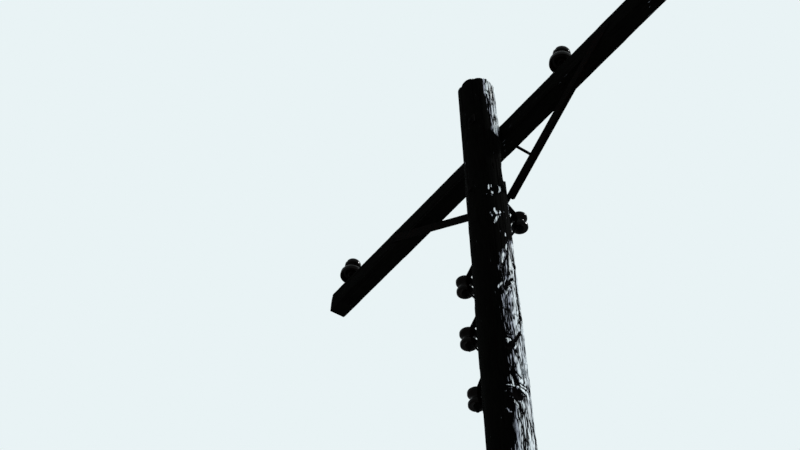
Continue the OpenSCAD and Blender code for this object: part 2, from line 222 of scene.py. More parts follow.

# %% [markdown]
# ## Weathered timber
# The pole and its arm are pine, soaked in creosote and decades old. Where sun and rain reach them
# the tar has washed out and the wood has turned to silver fibres; the rest is tar, painted almost
# black above a height as painted shade, and brown lower down. The side that lies open to the sky is
# grey all over.
# One function makes all of them: the mesh says by attributes how far each place has bleached, a
# value that carries painted light and painted shade as well, and how open it lies, and fibres drawn
# out along the grain break up the borders. Cracks come from the mesh as well, as real grooves, and
# are darkened here as painted shade. Wood has an IOR near 1.5, but this one is dull and rough.

# %% Timber colours
# Ramps run from the dark lines of the grain to its pale fibres
# The tar ramp is near black: the creosote's dark, darkened further as painted shade
TAR_AND_PAINTED_SHADE = [(0.35, "#010101"), (0.65, "#050504")]
BROWN_CREOSOTE = [(0.34, "#14100D"), (0.46, "#2C251E"), (0.6, "#473D33")]
SILVER = [(0.34, "#0A0909"), (0.39, "#4E5156"), (0.44, "#9DA6AC"), (0.51, "#EDF8FB")]
EVEN_SILVER = [(0.32, "#3C3B3B"), (0.42, "#74777A"), (0.52, "#9AA0A3"), (0.64, "#BFC5C7")]
TAN, YOUNG_VIOLET = colour("#B09880"), colour("#B0AFB9")
# The crack colour is painted shade deep in a check or split
BLACK_GRAIN, GREY_GRAIN, CRACK_SHADE_BLACK = colour("#0B0909"), colour("#2E2C2A"), colour("#030202")
# Above the second height the tar is painted black as its shade; below the first it is brown
BROWN_BELOW, TAR_AND_SHADE_ABOVE = 3.5, 4.7
print("creosote is brown below", BROWN_BELOW, "m and black above", TAR_AND_SHADE_ABOVE, "m")


# %% Timber grain
def grain_patterns(tree, place, grain):
    """Four noises drawn out along the grain, which runs along X for 0 and along Z for 2."""
    # Width and length of a cell in mm, then detail, roughness and distortion. In turn they are
    # broad and fine fibres, stained patches and open grain. Real fibres are a tenth as wide:
    # they are drawn coarser, so that they show.
    patterns = []
    for across, along, detail, rough, bend in (
            (9, 90, 5.0, 0.6, 0.3), (4.5, 34, 4.0, 0.5, 0.0),
            (60, 200, 3.0, 0.5, 0.0), (20, 160, 3.0, 0.5, 0.0)):
        cells = [1 / (across * MM)] * 3
        cells[grain] = 1 / (along * MM)
        drawn = add(tree, "Mapping", {"Vector": place, "Scale": cells})
        noise = add(tree, "TexNoise", {"Vector": drawn.outputs[0], "Scale": 1.0, "Detail": detail,
                                       "Roughness": rough, "Distortion": bend})
        patterns.append(noise.outputs[0])
    return patterns


def silvered(tree, grey, stops, stains, split, split_colour):
    """Bleached wood: stops over its fibres, then (share, colour) stains and the open grain."""
    wood = add(tree, "ValToRGB", {0: grey}, stops).outputs[0]
    for share, stain in stains:
        wood = add(tree, "Mix", {0: share, 6: wood, 7: stain}, data_type="RGBA",
                   blend_type="MULTIPLY").outputs[2]
    return add(tree, "Mix", {0: split, 6: split_colour, 7: wood}, data_type="RGBA").outputs[2]


print("tan stain, linear:", [round(c, 3) for c in TAN[:3]])

# %% Timber materials
FIBRE_PULL = 2.6
BORDER_FROM, BORDER_TO = 1.72, 1.92


def weathered_timber(name, grain):
    """Creosoted pine that has bleached in the sun. grain is 0 for X and 2 for Z."""
    material, tree, shader = new_material(name)
    place = add(tree, "TexCoord").outputs["Object"]
    bleach_and_painted_light, open_sun, crack = (add(tree, "Attribute", attribute_name=key).outputs["Fac"]
                               for key in ("bleach_and_painted_light", "open_sun", "crack"))
    broad, fine, patches, split = grain_patterns(tree, place, grain)
    grey = add(tree, "Math", {0: broad, 1: 0.55}, operation="MULTIPLY")
    grey = add(tree, "Math", {0: fine, 1: 0.45, 2: grey.outputs[0]},
               operation="MULTIPLY_ADD").outputs[0]
    # Where its noise crosses the middle it draws the thin black lines of open grain
    split = add(tree, "Math", {0: split, 1: 0.5}, operation="SUBTRACT")
    split = add(tree, "Math", {0: split.outputs[0]}, operation="ABSOLUTE")
    split = add(tree, "MapRange", {0: split.outputs[0], 1: 0.02, 2: 0.05}).outputs[0]
    # The silver turns tan in patches, where rain has not yet washed out the wood's own brown
    tan = add(tree, "MapRange", {0: patches, 1: 0.54, 2: 0.7, 3: 0.0, 4: 0.3}).outputs[0]
    # A value over 0.85 is paler still: it holds the painted light on the sunlit side and the
    # painted highlights of splinters. Young silver has a violet cast.
    paler = add(tree, "MapRange", {0: bleach_and_painted_light, 1: 0.85, 2: 1.25, 3: 0.0, 4: 0.17})
    lifted = add(tree, "Math", {0: grey, 1: paler.outputs[0]}).outputs[0]
    young = add(tree, "MapRange", {0: bleach_and_painted_light, 1: 0.62, 2: 1.02, 3: 1.0, 4: 0.0}).outputs[0]
    streaked = silvered(tree, lifted, SILVER, [(tan, TAN), (young, YOUNG_VIOLET)], split,
                        BLACK_GRAIN)
    # Where the wood lies open to the sun the tar is gone, and it has greyed evenly
    faint = add(tree, "MapRange", {0: split, 3: 0.3, 4: 1.0}).outputs[0]
    even = silvered(tree, grey, EVEN_SILVER, [(tan, TAN)], faint, GREY_GRAIN)
    silver = add(tree, "Mix", {0: open_sun, 6: streaked, 7: even}, data_type="RGBA")

    # Layer on layer: black tar with its painted shade, the brown lower down, the silver behind its
    # ragged border, where pale fibres reach out furthest, and the cracks, darkened as painted shade
    height = add(tree, "SeparateXYZ", {0: place}).outputs["Z"]
    rubbed = add(tree, "MapRange", {0: height, 1: TAR_AND_SHADE_ABOVE, 2: BROWN_BELOW})
    brown = add(tree, "ValToRGB", {0: grey}, BROWN_CREOSOTE)
    edge = add(tree, "Math", {0: grey, 1: FIBRE_PULL, 2: bleach_and_painted_light}, operation="MULTIPLY_ADD")
    edge = add(tree, "MapRange", {0: edge.outputs[0], 1: BORDER_FROM, 2: BORDER_TO})
    crack = add(tree, "MapRange", {0: crack, 1: 0.2, 2: 0.6})
    wood = add(tree, "ValToRGB", {0: grey}, TAR_AND_PAINTED_SHADE).outputs[0]
    for share, layer in ((rubbed, brown.outputs[0]), (edge, silver.outputs[2]),
                         (crack, CRACK_SHADE_BLACK)):
        wood = add(tree, "Mix", {0: share.outputs[0], 6: wood, 7: layer},
                   data_type="RGBA").outputs[2]
    relief = add(tree, "Bump", {"Height": grey, "Strength": 0.6, "Distance": 3 * MM})
    give(tree, shader, {"Base Color": wood, "Normal": relief.outputs[0], "Roughness": 0.95,
                        "Specular IOR Level": 0.01})
    return material


pole_wood = weathered_timber("creosoted pine, silvered by the sun", 2)
# The arm's black is the tar, darkened as painted shade
arm_wood = weathered_timber("sawn pine, tar black and painted shade", 0)
print("timber materials:", pole_wood.name, "/", arm_wood.name)

# %% [markdown]
# ## Helpers for meshes
# Every grown surface here is a grid of points, rows by columns, closed round the columns. numpy
# works the grids out, because the pole alone has some ninety thousand points. Noise comes from a
# seeded grid of random values with smooth steps between them, so each run is alike.


# %% Mesh helpers
def smooth(t):
    """0 to 1 with a soft start and end."""
    t = np.clip(t, 0, 1)
    return t * t * (3 - 2 * t)


def wrapped(turn):
    """A turn in degrees, brought between -180 and 180."""
    return (turn + 180) % 360 - 180


def waves(u, v, cells_u, cells_v, seed):
    """Smooth random values from -1 to 1 over u and v in 0..1; they close on themselves along u."""
    grid = np.random.default_rng(seed).uniform(-1, 1, (cells_u, cells_v + 2))
    u, v = u * cells_u, v * cells_v
    iu, iv = np.floor(u).astype(int), np.floor(v).astype(int)
    fu, fv = smooth(u - iu), smooth(v - iv)
    a, b = iu % cells_u, (iu + 1) % cells_u
    low = grid[a, iv] * (1 - fu) + grid[b, iv] * fu
    high = grid[a, iv + 1] * (1 - fu) + grid[b, iv + 1] * fu
    return low * (1 - fv) + high * fv


def ripples(u, v, *layers):
    """Wear from layers of waves, each (cells along u, cells along v, seed, half depth in mm)."""
    return sum((1 + waves(u, v, cu, cv, seed)) * half * MM for cu, cv, seed, half in layers)


def grid_faces(rows, columns, loop=False):
    """Quads of a grid closed round its columns; loop also closes the last row to the first."""
    r, c = np.meshgrid(np.arange(rows if loop else rows - 1), np.arange(columns), indexing="ij")
    up, on = (r + 1) % rows, (c + 1) % columns
    quads = np.stack([r * columns + c, r * columns + on, up * columns + on, up * columns + c], -1)
    return quads.reshape(-1, 4).tolist()


def add_piece(name, points, faces, material, nodes=(), values=None):
    """A smooth mesh piece that rides with the pole and stands for the nodes it replaces."""
    mesh = bpy.data.meshes.new(name)
    mesh.from_pydata([tuple(p) for p in points], [], faces)
    mesh.shade_smooth()
    for key, amounts in (values or {}).items():
        layer = mesh.attributes.new(key, "FLOAT", "POINT")
        layer.data.foreach_set("value", np.asarray(amounts, np.float32).ravel())
    mesh.materials.append(material)
    piece = bpy.data.objects.new(name, mesh)
    bpy.context.scene.collection.objects.link(piece)
    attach(piece, "root")
    if nodes:
        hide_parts(*nodes)
    print(name, "has", len(mesh.vertices), "points")
    return piece


def closed_grid(points, first, last):
    """Points and faces of a grid of rows, closed at both ends to a middle point."""
    rows, columns = points.shape[:2]
    faces = grid_faces(rows, columns)
    low, high = rows * columns, rows * columns + 1
    top_row = (rows - 1) * columns
    for c in range(columns):
        on = (c + 1) % columns
        faces.append((low, on, c))
        faces.append((high, top_row + c, top_row + on))
    return np.vstack([points.reshape(-1, 3), first, last]), faces


def joined(*layers):
    """The values of a piece's points in one row, from layers in the order of its points."""
    return np.concatenate([np.ravel(layer) for layer in layers])


def node_points(name):
    """All points of a CAD node."""
    mesh = frame["nodes"][name].data
    flat = np.empty(3 * len(mesh.vertices))
    mesh.vertices.foreach_get("co", flat)
    return flat.reshape(-1, 3)


print("smooth(0.5) =", float(smooth(0.5)))

# %% [markdown]
# ## The pole's rough form
# A real pole is a peeled trunk: its skin is cut by long drying checks, it has knots, and its top
# is ragged. The CAD pole is the clean trunk with its flats for the arm and the brackets. Rays
# from outside find its skin, so every flat stays where the hardware sits, and all wear goes
# inwards from there. Rows lie closer together in the upper part, which is seen from near by.

# %% Rows and columns of the pole's skin
POLE_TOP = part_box("pole")[1].z
arm_lo, arm_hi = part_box("crossarm")
NEAR_Z = 5.0
ROW_NEAR, ROW_FAR = 0.006, 0.072
COLUMN_NEAR, COLUMN_FAR = 1.1, 3.3
NEAR_TURNS = (-50, 60)
RIM_WEAR, RIM_ROOM = 0.005, 0.010
RIM_STEPS = np.array([1.0, 0.7, 0.4, 0.2, 0.05, 0.0])
GAIN_MARGIN = 12 * MM
SHARP = 0.0004

heights = np.concatenate([np.arange(0, NEAR_Z, ROW_FAR),
                          np.arange(NEAR_Z, POLE_TOP - RIM_ROOM, ROW_NEAR),
                          POLE_TOP - RIM_WEAR * RIM_STEPS])
# Two rows close together keep each edge of the arm's flat sharp
gain_edges = [arm_lo.z - GAIN_MARGIN, arm_hi.z + GAIN_MARGIN]
heights = np.sort(np.concatenate([heights] + [[e - SHARP, e + SHARP] for e in gain_edges]))
turns = np.concatenate([np.arange(NEAR_TURNS[0], NEAR_TURNS[1], COLUMN_NEAR),
                        np.arange(NEAR_TURNS[1], NEAR_TURNS[0] + 360 - 1, COLUMN_FAR)])
turns = np.sort(wrapped(turns))
COLUMNS = len(turns)
Z, TURN = np.meshgrid(heights, turns, indexing="ij")
AROUND = (TURN + 180) / 360
UP = Z / POLE_TOP
print("rows:", len(heights), "columns:", COLUMNS)

# %% The skin that the rays find
RAY_START, RAY_MARGIN = 0.3, 0.0005
HOLE_DEPTH = 24 * MM
SEAT_CUT = 2 * MM
FLAT_FROM = 0.7 * MM

trunk = node_points("pole")
base_r = np.hypot(*trunk[trunk[:, 2] < MM, :2].T).max()
top_r = np.hypot(*trunk[trunk[:, 2] > POLE_TOP - MM, :2].T).max()


def round_r(z):
    """Radius of the clean trunk at a height."""
    return base_r + (top_r - base_r) * z / POLE_TOP


clean_r = round_r(Z)
solid = BVHTree.FromObject(frame["nodes"]["pole"], bpy.context.evaluated_depsgraph_get())
found = np.array(clean_r)
outwards = [direction(turn) for turn in turns]
for i, z in enumerate(heights):
    z = min(max(float(z), RAY_MARGIN), POLE_TOP - RAY_MARGIN)
    for j, out in enumerate(outwards):
        hit = solid.ray_cast(out * RAY_START + Vector((0, 0, z)), -out)[0]
        if hit is not None:
            found[i, j] = math.hypot(hit.x, hit.y)
# A ray that runs down a bolt's hole gets the depth of the seat round it
found = np.where(clean_r - found > HOLE_DEPTH, clean_r - SEAT_CUT, found)
flat = clean_r - found > FLAT_FROM
found = np.where(flat, found, clean_r)
print("skin:", Z.shape, "points, of which on flats:", int(flat.sum()))

# %% [markdown]
# ## Checks, knots and splinters
# A check is a V-shaped groove along the grain, widest at its middle. Some are placed where the
# picture shows them, and seeded random ones fill the rest, most of them on the side of the sun.
# Each is a line of (turn, height) points on the skin, in degrees and metres, with a width and a
# depth. Splinters and fibres that stand out from the dark are lines of the same kind, only paler:
# pale wood with painted highlights where raised fibres catch the sun. Three grids collect it all:
# how deep the skin is worn, how dark it is, painted shade in the checks included, and how pale,
# painted highlights included.

# %% Lines on the skin
LEAST_WEAR = 0.2 * MM
# How dark a check is painted at its middle, as shade in its groove
CHECK_SHADE_DARK = 1.7

wear = np.full(Z.shape, LEAST_WEAR)
dark = np.zeros(Z.shape)
pale = np.zeros(Z.shape)


def near_line(path, room):
    """The rows near a line of (turn, height) points, how far each of their points lies from
    it, and how far along the line that is, from 0 to 1."""
    path = np.array(path, float)
    first, last = np.searchsorted(heights, (path[:, 1].min() - room, path[:, 1].max() + room))
    rows = slice(first, last)
    middle = path[:, 0].mean()
    x = np.radians(wrapped(TURN[rows] - middle)) * clean_r[rows]
    line_x = np.radians(path[:, 0] - middle) * round_r(path[:, 1])
    near = np.full(x.shape, np.inf)
    along = np.zeros(x.shape)
    steps = len(path) - 1
    for k in range(steps):
        x0, x1 = line_x[k:k + 2]
        z0, z1 = path[k:k + 2, 1]
        t = np.clip(((x - x0) * (x1 - x0) + (Z[rows] - z0) * (z1 - z0))
                    / ((x1 - x0) ** 2 + (z1 - z0) ** 2), 0, 1)
        d = np.hypot(x - x0 - t * (x1 - x0), Z[rows] - z0 - t * (z1 - z0))
        along = np.where(d < near, (k + t) / steps, along)
        near = np.minimum(near, d)
    return rows, near, along


def line_share(path, width, blunt):
    """The rows near a line, and 1 on its middle down to 0 at its border; blunt is the share of
    its length over which it closes towards each end."""
    rows, near, along = near_line(path, width)
    ends = np.clip(np.minimum(along, 1 - along) / blunt, 0, 1) ** 0.5
    return rows, np.clip(1 - near / (width * np.maximum(ends, 0.05)), 0, 1) * (ends > 0)


def cut_check(path, width, depth, blunt=0.12):
    """Cuts a V-shaped groove along a line and darkens it with painted shade."""
    rows, share = line_share(path, width, blunt)
    wear[rows] = np.maximum(wear[rows], share * depth)
    dark[rows] = np.maximum(dark[rows], share * CHECK_SHADE_DARK)


print("skin starts", LEAST_WEAR / MM, "mm inside the trunk")

# %% Checks that the picture shows
# (line, half width in mm, depth in mm) of the breaks that show most, from the top down
PLACED_CHECKS = [
    ([(19, 7.44), (15, 7.36), (13, 7.29), (14, 7.22), (16, 7.11)], 4.5, 6),
    ([(-1, 7.3), (-1, 7.23), (1, 7.18), (5, 7.14)], 5, 6),
    ([(14, 7.5), (20, 7.46), (24, 7.4)], 5, 6),
    ([(6, 6.25), (3, 6.18), (0, 6.116), (-4, 6.053), (-7, 5.996)], 6.7, 12),
    ([(1, 6.177), (-11, 6.113), (-21, 6.048)], 6, 9),
    ([(31, 6.236), (34, 6.198), (32, 6.141), (22, 6.047), (22, 5.982), (21, 5.916), (24, 5.853),
      (20, 5.767), (22, 5.708)], 9, 8), ([(12, 6.024), (-4, 5.979), (-20, 5.924)], 15, 13),
    ([(-9, 5.997), (-21, 5.945)], 7, 8), ([(-1, 5.935), (-5, 5.912)], 4, 6),
    ([(-5, 5.969), (0, 5.945)], 4.5, 6), ([(2, 5.856), (2, 5.831)], 6, 6),
    ([(-4, 5.782), (-3, 5.752)], 5.5, 6), ([(13, 5.815), (10, 5.745)], 4, 6),
    ([(22, 5.706), (5, 5.654), (-8, 5.613), (-17, 5.58)], 11, 12),
    ([(-10, 5.656), (-25, 5.653)], 6, 8), ([(-9, 5.595), (-20, 5.587), (-30, 5.573)], 14, 9),
    ([(-2, 5.556), (-10, 5.561)], 9, 10),
    ([(-25, 5.439), (-18, 5.402), (-11, 5.372), (-9, 5.363)], 11, 11),
    ([(-15, 5.443), (-7, 5.421), (4, 5.409)], 6, 8), ([(-41, 5.369), (-26, 5.365)], 3.2, 5),
    ([(-41, 5.349), (-28, 5.349), (-17, 5.345)], 4.2, 6),
    ([(-11, 5.366), (-5, 5.358), (3, 5.354), (13, 5.345)], 3, 6),
    ([(-8, 5.383), (-1, 5.374), (8, 5.374), (19, 5.366)], 5, 8),
    ([(9, 5.409), (10, 5.386)], 4.2, 6),
    ([(29, 5.42), (27, 5.36), (28, 5.29), (25, 5.2), (28, 5.12), (26, 5.03), (28, 4.9)], 7.5, 8),
    ([(-17, 5.182), (-12, 5.14), (-10, 5.098), (-8, 5.035)], 4.5, 7),
    ([(1, 5.2), (3, 5.16), (-1, 5.114), (3, 5.08)], 4, 7),
    ([(9, 5.195), (13, 5.165), (16, 5.13)], 4, 6),
    ([(-7, 5.28), (-4, 5.24), (-9, 5.205)], 4.5, 6),
    ([(-23, 5.284), (-18, 5.267), (-15, 5.25), (-13, 5.22)], 11, 9),
]
for line, half_width, depth in PLACED_CHECKS:
    cut_check(line, half_width * MM, depth * MM)
print("placed checks:", len(PLACED_CHECKS))

# %% Random checks
rng = np.random.default_rng(23)
RANDOM_CHECKS, TOP_CHECKS = 520, 11
for k in range(RANDOM_CHECKS):
    # Three in four are short and on the side of the sun, and the others are long
    sunny = k % 4 > 0
    start = rng.normal(30, 45) if sunny else rng.uniform(-180, 180)
    low = rng.uniform(4.6, POLE_TOP - 0.3) if sunny else rng.uniform(0.1, POLE_TOP - 0.5)
    tall = rng.uniform(0.03, 0.13) if sunny else rng.uniform(0.4, 1.6)
    lean = rng.uniform(-7, 4)
    high = min(low + tall, POLE_TOP - 0.02)
    middle = (start + lean * 0.5 + rng.uniform(-2, 2), (low + high) / 2)
    cut_check([(start, low), middle, (start + lean, high)],
              rng.uniform(1.6, 3.4) * MM, rng.uniform(2, 6) * MM, 0.3)
# These run out of the top end, where the timber dries fastest
for k in range(TOP_CHECKS):
    start = rng.uniform(-180, 180)
    cut_check([(start + rng.uniform(-4, 4), POLE_TOP - rng.uniform(0.15, 0.6)),
               (start, POLE_TOP + 0.12)], rng.uniform(3, 5) * MM, rng.uniform(5, 9) * MM, 0.4)
print("random checks:", RANDOM_CHECKS + TOP_CHECKS)

# %% Knots
# (turn, height in m, size in mm, how far its rings reach in mm), the large one first
KNOTS = [(-14, 5.309, 37, 52), (-7, 5.562, 8, 18), (64, 6.72, 13, 45), (150, 6.95, 14, 48),
         (-150, 6.25, 13, 40), (110, 5.5, 15, 50), (20, 4.1, 15, 52), (-80, 3.3, 16, 55),
         (95, 2.4, 17, 55), (-30, 1.7, 16, 52), (170, 3.9, 15, 50)]
RING_STEP, RING_DEPTH, KNOT_DEPTH = 11 * MM, 3 * MM, 9 * MM
KNOT_DARK, RING_DARK, HEART = 2.4, 0.9, 0.7  # the heart is the share of a knot without rings
for turn, z, size, reach in KNOTS:
    size, reach = size * MM, reach * MM
    rows, near, _ = near_line([(turn, z - 0.002), (turn, z + 0.002)], reach)
    hollow = np.clip(1 - near / size, 0, 1)
    rings = 0.5 - 0.5 * np.cos(near / RING_STEP * 2 * np.pi)
    fade = smooth(1 - near / reach) * (near > size * HEART)
    wear[rows] += fade * rings * RING_DEPTH
    wear[rows] = np.maximum(wear[rows], hollow ** 0.6 * KNOT_DEPTH)
    shade = np.maximum(hollow * KNOT_DARK, fade * rings * RING_DARK)
    dark[rows] = np.maximum(dark[rows], shade)
print("knots:", len(KNOTS))

# %% Splinters and painted highlights
# (line, half width in mm, how pale) of splinters and fibres, painted pale as highlights where they
# catch the sun
SPLINTERS_AND_HIGHLIGHTS = [
    ([(-33, 6.642), (-35, 6.605)], 6.5, 1.2), ([(-27, 6.643), (-27, 6.621)], 6, 0.9),
    ([(-29, 6.596), (-24, 6.576)], 7, 1.7), ([(-30, 6.569), (-25, 6.563)], 4.5, 1.1),
    ([(-7, 6.643), (0, 6.643), (0, 6.618), (-8, 6.591)], 7, 1.3),
    ([(-42, 6.574), (-40, 6.572)], 5, 0.65), ([(-24, 6.473), (-22, 6.449), (-19, 6.431)], 9, 1.8),
    ([(-16, 6.42), (-23, 6.392), (-29, 6.364)], 7.5, 1.6),
    ([(-37, 6.443), (-36, 6.425), (-31, 6.415)], 5, 0.9),
    ([(-10, 6.461), (-7, 6.453), (-12, 6.439)], 5.5, 1), ([(4, 6.469), (7, 6.472)], 6, 1),
    ([(-11, 6.426), (-9, 6.426)], 5, 0.9), ([(-13, 6.321), (-13, 6.311)], 6.5, 0.65),
    ([(3, 6.319), (1, 6.293)], 7, 1), ([(2, 6.242), (-2, 6.194)], 7, 1.4),
    ([(-16, 7.379), (-4, 7.39), (3, 7.382)], 12, 1.6),
    ([(-11, 6.17), (-18, 6.135), (-18, 6.102)], 9.5, 1.4),
    ([(15, 6.135), (14, 6.08), (10, 6.037)], 7.4, 1.5),
    ([(9, 6.153), (6, 6.097), (2, 6.04)], 6.3, 1.2), ([(11, 6.012), (8, 5.983)], 7.7, 1.5),
    ([(-2, 5.968), (-11, 5.929), (-17, 5.897)], 5, 1.2), ([(-14, 5.994), (-18, 5.957)], 4.5, 0.9),
    ([(-22, 5.975), (-30, 5.956), (-38, 5.933)], 7, 1.3),
    ([(19, 5.84), (16, 5.786), (12, 5.732)], 7, 1.5), ([(-4, 5.676), (-1, 5.66)], 5.5, 1.4),
    ([(3, 5.635), (-4, 5.607)], 6.4, 1.5), ([(-1, 5.604), (-10, 5.57)], 6, 1.2),
    ([(-30, 5.625), (-16, 5.619)], 5, 1.5), ([(-26, 5.621), (-27, 5.599)], 6.5, 1.5),
    ([(-22, 5.62), (-23, 5.608)], 6, 1.5), ([(-33, 5.54), (-29, 5.485), (-28, 5.43)], 5, 0.5),
    ([(-22, 5.54), (-26, 5.433)], 5, 0.55),
    ([(-28, 5.416), (-26, 5.388), (-23, 5.358)], 6.5, 1.1),
    ([(-39, 5.386), (-32, 5.375)], 4, 0.65), ([(-37, 5.404), (-33, 5.382)], 7.5, 0.5),
    ([(-41, 5.358), (-32, 5.359), (-25, 5.356), (-19, 5.351)], 4.5, 1.5),
    ([(-15, 5.356), (-7, 5.349), (1, 5.344), (10, 5.339), (17, 5.33), (19, 5.31)], 6, 1.6),
    ([(-5, 5.365), (4, 5.364), (11, 5.359), (19, 5.354)], 4.5, 1.5),
    ([(15, 5.423), (17, 5.405), (18, 5.386)], 8, 1.6), ([(-3, 5.401), (1, 5.384)], 10.6, 1.3),
    ([(-15, 5.425), (-7, 5.409)], 4, 0.9),
    ([(-26, 5.28), (-21, 5.266), (-18, 5.254), (-17, 5.228)], 10, 1.8),
    ([(-6, 5.276), (-2, 5.262), (-1, 5.23)], 6, 1.2),
    ([(-37, 5.34), (-30, 5.345), (-25, 5.343)], 5, 0.6), ([(-30, 5.332), (-31, 5.314)], 5.5, 0.6),
    ([(-43, 5.326), (-43, 5.318)], 5, 0.5), ([(-37, 5.293), (-33, 5.292)], 5, 0.55),
    ([(-29, 5.295), (-27, 5.288)], 5, 0.6), ([(-21, 5.305), (-22, 5.292)], 6, 0.65),
    ([(-4, 5.326), (1, 5.314), (4, 5.304), (8, 5.288)], 6.5, 0.9),
    ([(-48, 5.233), (-42, 5.223), (-38, 5.209), (-31, 5.214)], 5, 0.7),
    ([(-11, 7.335), (-10, 7.28), (-12, 7.25), (-10, 7.22)], 8, 0.62),
    ([(-9, 7.47), (-6, 7.42), (-8, 7.38)], 12, 1.3),
    ([(8, 7.49), (10, 7.44), (8, 7.38)], 14, 1.5),
]
for line, half_width, amount in SPLINTERS_AND_HIGHLIGHTS:
    rows, share = line_share(line, half_width * MM, 0.2)
    pale[rows] = np.maximum(pale[rows], np.minimum(share * 2, 1) * amount)
print("splinters:", len(SPLINTERS_AND_HIGHLIGHTS))

# %% The worn skin
wear += ripples(AROUND, UP, (7, 14, 1, 0.5), (60, 70, 2, 0.45), (130, 150, 3, 0.35))
# Below the arm the sunny side has lost its outer shell, down to the upper bracket
SHELL_HEIGHTS = [6.60, 6.64, 6.70, 6.76, 6.79, 6.82, 6.855, 6.87, 6.90, 7.06]
SHELL_DEPTHS = [0, 4, 8, 11, 13, 16, 18, 12, 10, 4]
SHELL_TURN, SHELL_REACH, SHELL_FADE = 58, 45, 22
lost = np.interp(Z, SHELL_HEIGHTS, SHELL_DEPTHS, 0, 0) * MM
lost *= smooth((SHELL_REACH - np.abs(TURN - SHELL_TURN)) / SHELL_FADE)
wear = np.maximum(wear, lost)
# The flats keep their plane, with a short run-out round them
still = flat.copy()
for shift in (-2, -1, 1, 2):
    still |= np.roll(flat, shift, axis=1)
skin_r = found - np.where(still, 0, wear)
dark[still] = 0
print("deepest wear:", round(float(wear.max()) / MM, 1), "mm")

# %% [markdown]
# ## Where the pole has bleached
# The sun works on one side only, so the silver stops along a ragged line down the pole; that line
# is also the border of light and painted shade on that side. Below the arm and the service spool's
# bracket the wood is painted black as their shade. The value goes to the material as an attribute:
# 0 is tar and painted shade, 1 is silver and more than 1 is the palest wood, with painted light and
# highlights. A second attribute says how far a place lies open to the sun, all day long.

# %% Where the silver begins and ends
# (height, turn at which the silver begins). It follows the border of light and shade on the sunny
# side, and from 6.3 m up to the arm it stands far round, as painted shade of the service spool's
# bracket and of the arm
SILVER_AND_SHADE_EDGE = [
    (0, -36), (5, -37), (5.11, -34), (5.17, -34), (5.19, -33), (5.21, -30), (5.24, -24),
    (5.27, -22), (5.3, -16), (5.36, -16), (5.42, -13), (5.44, -13), (5.49, -14), (5.55, -16),
    (5.57, -6), (5.62, -6), (5.64, -28), (5.7, -30), (5.79, -31), (5.84, -31), (5.87, -26),
    (5.91, -22), (5.975, -30), (6.015, -25), (6.06, -28), (6.16, -23), (6.2, -10), (6.25, 0),
    (6.27, 8), (6.31, 34), (6.6, 58), (6.74, 58), (6.78, 44), (6.86, 34), (6.93, 60), (7.04, 70),
    (7.06, 0), (7.09, -4), (7.15, -6), (7.22, -8), (7.33, -4), (7.355, -16), (7.4, -17),
    (7.48, -17),
]
# (height, turn from which it is fully bleached), held round in the same way below the arm
FULL = [
    (0, -20), (5, -21), (5.11, -18), (5.2, -20), (5.24, -15), (5.28, -12), (5.36, -8), (5.42, -8),
    (5.5, -9), (5.55, -10), (5.57, 2), (5.62, 0), (5.68, -1), (5.8, 4), (6.2, 6), (6.25, 14),
    (6.31, 42), (6.6, 64), (6.74, 64), (6.87, 44), (6.93, 66), (7.04, 76), (7.07, 8), (7.33, 4),
    (7.36, -8), (7.5, -8),
]
# (height, turn at which the silver ends, on the side away from the picture)
LAST = [(0, 180), (5, 175), (7.5, 155)]
ragged = 3 * waves(AROUND, UP, 3, 120, 11) + 2.5 * waves(AROUND, UP, 3, 400, 12)
first_silver = np.interp(Z, *zip(*SILVER_AND_SHADE_EDGE)) + ragged
full_silver = np.interp(Z, *zip(*FULL)) + 1.5 * ragged
last_silver = (np.interp(Z, *zip(*LAST)) + 9 * waves(AROUND, UP, 3, 60, 14)
               + 5 * waves(AROUND, UP, 3, 200, 15))
print("silver begins at", round(float(first_silver.mean())), "degrees on average")

# %% How far each place has bleached
FIRST_FIBRES = 0.52
# (degrees past a border, bleach there) where the silver begins and where it ends
BEGINNING = [(-14, -0.1), (-4, 0.3), (0, FIRST_FIBRES)]
ENDING = [(-14, -0.1), (0, FIRST_FIBRES), (20, 1.0)]
FULL_SUN_FROM, OPEN_FROM, SUN_FADE = 30, 52, 30
PALER_BY, SUN_SIDE_PAINTED_SHADE, OPEN_GAIN = 0.45, 0.07, 0.4

# Turns counted on from -90, so that they have no break on the silver side
turned_on = (TURN + 90) % 360 - 90
past = turned_on - first_silver
grown = np.clip(past / np.maximum(full_silver - first_silver, 3), 0, 1)
bleach_and_painted_light = np.interp(past, *zip(*BEGINNING)) + (1 - FIRST_FIBRES) * grown ** 1.4
# It is painted palest from the full silver to about turn 30, as painted light, and a little darker
# past that, as painted shade
in_full_sun = smooth((turned_on - FULL_SUN_FROM) / SUN_FADE)
bleach_and_painted_light += PALER_BY * np.clip((turned_on - full_silver) / 50, 0, 1) * (1 - in_full_sun)
bleach_and_painted_light -= SUN_SIDE_PAINTED_SHADE * in_full_sun
bleach_and_painted_light = np.minimum(bleach_and_painted_light, np.interp(last_silver - turned_on, *zip(*ENDING)))
bleach_and_painted_light -= 0.08 * (1 + waves(AROUND, UP, 9, 40, 13)) + 0.05 * waves(AROUND, UP, 40, 60, 16)

